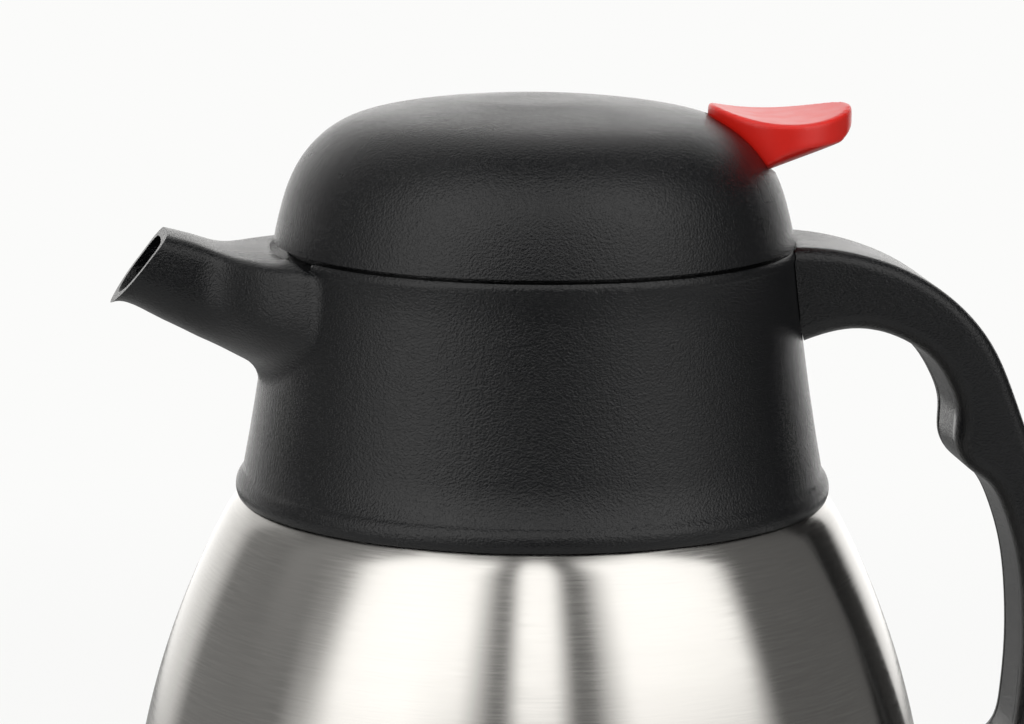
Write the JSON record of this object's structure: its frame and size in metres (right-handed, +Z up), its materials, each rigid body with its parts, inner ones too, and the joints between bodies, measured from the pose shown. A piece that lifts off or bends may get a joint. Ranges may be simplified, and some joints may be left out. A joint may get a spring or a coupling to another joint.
{
  "type": "thermal carafe",
  "caption": "Double-walled steel carafe with a black collar and spout, a side handle and a screw-in domed stopper whose red thumb lever lifts the pouring valve.",
  "frame": {"origin": "on the axis of the flask, at table level under the anti-slip pad", "axes": "+Z up along the flask, +X towards the handle, -X along the spout, +Y to the left of someone who faces +X"},
  "size_m": [0.1714, 0.1446, 0.2305],
  "materials": {
    "brushed_steel": "fine brushed rings round the body",
    "plain_steel": "plain drawn stainless steel",
    "black_plastic": "fine grained moulding",
    "red_plastic": "satin moulding",
    "silicone": "dark grey silicone"
  },
  "bodies": {
    "body": {"outer_shell": "brushed_steel", "inner_liner": "plain_steel", "shell_base": "plain_steel", "vacuum_seal": "plain_steel", "getter": "plain_steel", "base_cap": "black_plastic", "base_pad": "silicone", "collar": "black_plastic", "neck_gasket": "silicone", "handle": "black_plastic", "handle_cover": "black_plastic", "handle_bracket": "plain_steel", "handle_screw": "plain_steel", "screw_cap": "black_plastic"},
    "lid_seal": {"lid_gasket": "silicone"},
    "lid": {"stopper_body": "black_plastic", "stopper_seal": "silicone", "lid_dome": "black_plastic", "lever_pin": "plain_steel", "rod_o_ring": "silicone", "seal_retainer": "plain_steel", "return_spring": "plain_steel"},
    "lever": {"lever": "red_plastic"},
    "valve": {"valve_rod": "plain_steel", "rod_head": "plain_steel", "plug_carrier": "black_plastic", "valve_plug": "silicone", "plug_clip": "black_plastic"}
  },
  "joints": [
    {"name": "lid_rise", "type": "slide", "parent": "body", "child": "lid_seal", "axis": [0, 0, 1], "range_m": [0, 0.04]},
    {"name": "lid_turn", "type": "hinge", "parent": "lid_seal", "child": "lid", "pos_m": [0, 0, 0.2], "axis": [0, 0, 1], "range_deg": [0, 720]},
    {"name": "lever_press", "type": "hinge", "parent": "lid", "child": "lever", "pos_m": [0.037, 0, 0.2175], "axis": [0, 1, 0], "range_deg": [0, 10], "stiffness_Nm_per_rad": 0.15, "springref_deg": -5.73},
    {"name": "valve_lift", "type": "slide", "parent": "lid", "child": "valve", "axis": [0, 0, 1], "range_m": [0, 0.0065], "deforming": ["return_spring"]}
  ],
  "couplings": [
    {"joint": "lid_rise", "follows": "lid_turn", "m_per_rad": 0.003183},
    {"joint": "valve_lift", "follows": "lever_press", "m_per_rad": 0.037}
  ]
}
